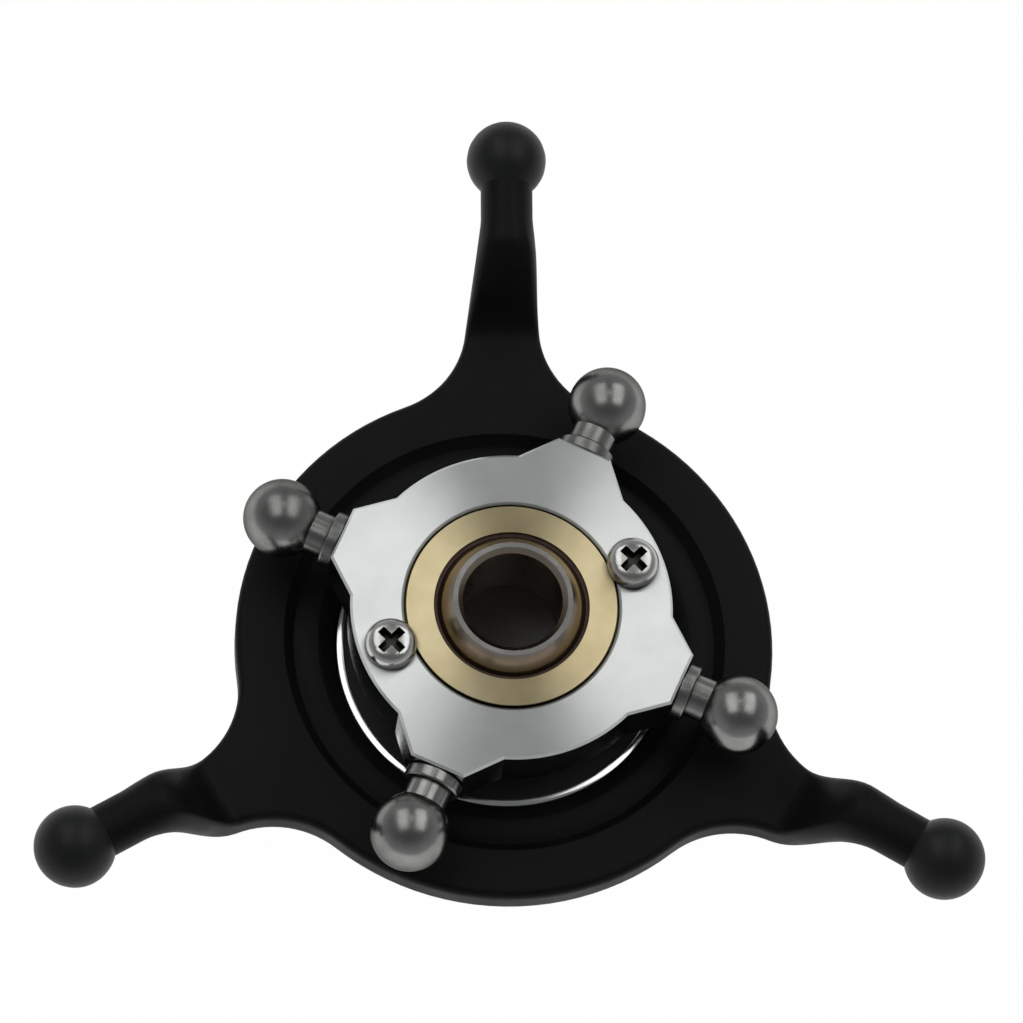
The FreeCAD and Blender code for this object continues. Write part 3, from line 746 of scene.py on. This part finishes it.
# The flange's rounded top edge, its upright side and its rounded lower edge, as insets and heights.
bm = bmesh.new()
side_top, side_bottom = ring_top - 0.50, ring_bottom + 0.30
levels = [(0.50, ring_top), (0.31, ring_top - 0.04), (0.15, ring_top - 0.15), (0.04, ring_top - 0.31)]
levels += [(0, side_top + (side_bottom - side_top) * step / side_steps) for step in range(side_steps + 1)]
levels += [(0.09, ring_bottom + 0.09), (0.30, ring_bottom)]
loops = [flange_edge(bm, inset, height) for inset, height in levels]
for upper, lower in zip(loops, loops[1:]):
    bmesh.ops.bridge_loops(bm, edges=upper + lower)

# The moulding's inside, as radii and heights: down the step and slope of the face to the lip, the
# bearing's seat and the circlip's groove, then round the boss and back up to the flange.
inside = [
    (13.40, -4.25), (12.90, -4.92), (12.84, -4.95), (12.30, -4.76), (12.24, -4.745), (11.40, -4.655),
    (11.32, -4.66), (10.42, -5.08), (10.38, -5.14), (10.38, -5.40),
    (10.50, -5.40), (10.50, -9.40), (11.00, -9.40), (11.00, -10.22), (10.50, -10.22), (10.50, -10.90),
    (10.60, -11.00), (12.90, -11.00), (13.00, -10.90), (13.00, -7.20),
    (13.06, -6.89), (13.23, -6.63), (13.49, -6.46), (13.80, ring_bottom)]
face_edge = bmesh.ops.create_circle(bm, segments=face_steps, radius=face_radius * MM)["verts"]
bmesh.ops.translate(bm, verts=face_edge, vec=(0, 0, ring_top * MM))
last_loop = list({edge for vert in face_edge for edge in vert.link_edges})
bmesh.ops.triangle_fill(bm, edges=loops[0] + last_loop, use_beauty=True)
for radius, height in inside:
    grown = bmesh.ops.extrude_edge_only(bm, edges=last_loop)["geom"]
    verts = [item for item in grown if isinstance(item, bmesh.types.BMVert)]
    last_loop = [item for item in grown if isinstance(item, bmesh.types.BMEdge)]
    for vert in verts:
        flat = Vector((vert.co.x, vert.co.y, 0)).normalized() * radius * MM
        vert.co = (flat.x, flat.y, height * MM)
bmesh.ops.triangle_fill(bm, edges=loops[-1] + last_loop, use_beauty=True)

# Each arm grows out of the end of its root, from a rounded bar to a round neck and then the ball.
# Every vertex of the end keeps its share of the way to the side and to the top.
side_share = bm.verts.layers.float.new("side_share")
rise_share = bm.verts.layers.float.new("rise_share")


def ease(value, start, end):
    """0 before start, 1 after end, and a smooth rise between them."""
    share = min(max((value - start) / (end - start), 0.0), 1.0)
    return share * share * (3 - 2 * share)


middle_height, half_height = (ring_top + ring_bottom) / 2, (ring_top - ring_bottom) / 2
for arm in range(arm_count):
    turn = Matrix.Rotation(math.radians(first_arm_angle) + math.tau * arm / arm_count, 4, "Z")
    back_turn = turn.inverted()
    end_verts = {vert for vert in bm.verts if abs((back_turn @ vert.co).x - root_end * MM) < 1e-7}
    end_faces = [face for face in bm.faces if all(vert in end_verts for vert in face.verts)]
    bmesh.ops.delete(bm, geom=end_faces, context="FACES")
    loop = [edge for edge in bm.edges if edge.is_boundary and all(vert in end_verts for vert in edge.verts)]
    for vert in end_verts:
        if vert.is_valid:
            local = back_turn @ vert.co / MM
            vert[side_share] = local.y / root_half_width
            vert[rise_share] = (local.z - middle_height) / half_height
    stations = []
    for step in range(1, bar_steps + 1):
        x = root_end + (arm_neck_end - root_end) * step / bar_steps
        top = ring_top + (arm_neck_radius - ring_top) * ease(x, root_end, rise_end)
        bottom = ring_bottom + (-arm_neck_radius - ring_bottom) * ease(x, fall_start, fall_end)
        share = min((x - root_end) / (fall_end - root_end), 1.0)
        half_width = root_half_width + (arm_neck_radius - root_half_width) * share
        stations.append((x, half_width, top, bottom, ease(x, root_end, fall_end)))
    # The last station stops half a step short of the ball's tip, and a flat face closes it.
    start_angle = math.asin(arm_neck_radius / arm_ball_radius)
    for step in range(1, arm_ball_steps + 1):
        angle = start_angle + (math.pi - start_angle) * step / (arm_ball_steps + 0.5)
        size = arm_ball_radius * math.sin(angle)
        stations.append((arm_ball_distance - arm_ball_radius * math.cos(angle), size, size, -size, 1.0))
    for x, half_width, top, bottom, roundness in stations:
        grown = bmesh.ops.extrude_edge_only(bm, edges=loop)["geom"]
        loop = [item for item in grown if isinstance(item, bmesh.types.BMEdge)]
        for vert in [item for item in grown if isinstance(item, bmesh.types.BMVert)]:
            side, rise = vert[side_share], vert[rise_share]
            reach = math.hypot(side, rise)
            side += (side / reach - side) * roundness
            rise += (rise / reach - rise) * roundness
            z = (top + bottom) / 2 + rise * (top - bottom) / 2
            vert.co = turn @ (Vector((x, side * half_width, z)) * MM)
    bmesh.ops.edgeloop_fill(bm, edges=loop)
bmesh.ops.remove_doubles(bm, verts=bm.verts, dist=1e-8)
bmesh.ops.recalc_face_normals(bm, faces=bm.faces)
ring = finish_piece(bm, "moulded_ring", black_nylon, "fixed_ring", ["outer_ring"])
# The links have worn the balls smoother, and their lighter colour is a painted sheen.
plain_slot, worn_painted_sheen_slot = 0, 1
ring.data.materials.append(worn_nylon_painted_sheen)
for face in ring.data.polygons:
    on_ball = math.hypot(face.center.x, face.center.y) > arm_neck_end * MM
    face.material_index = worn_painted_sheen_slot if on_ball else plain_slot
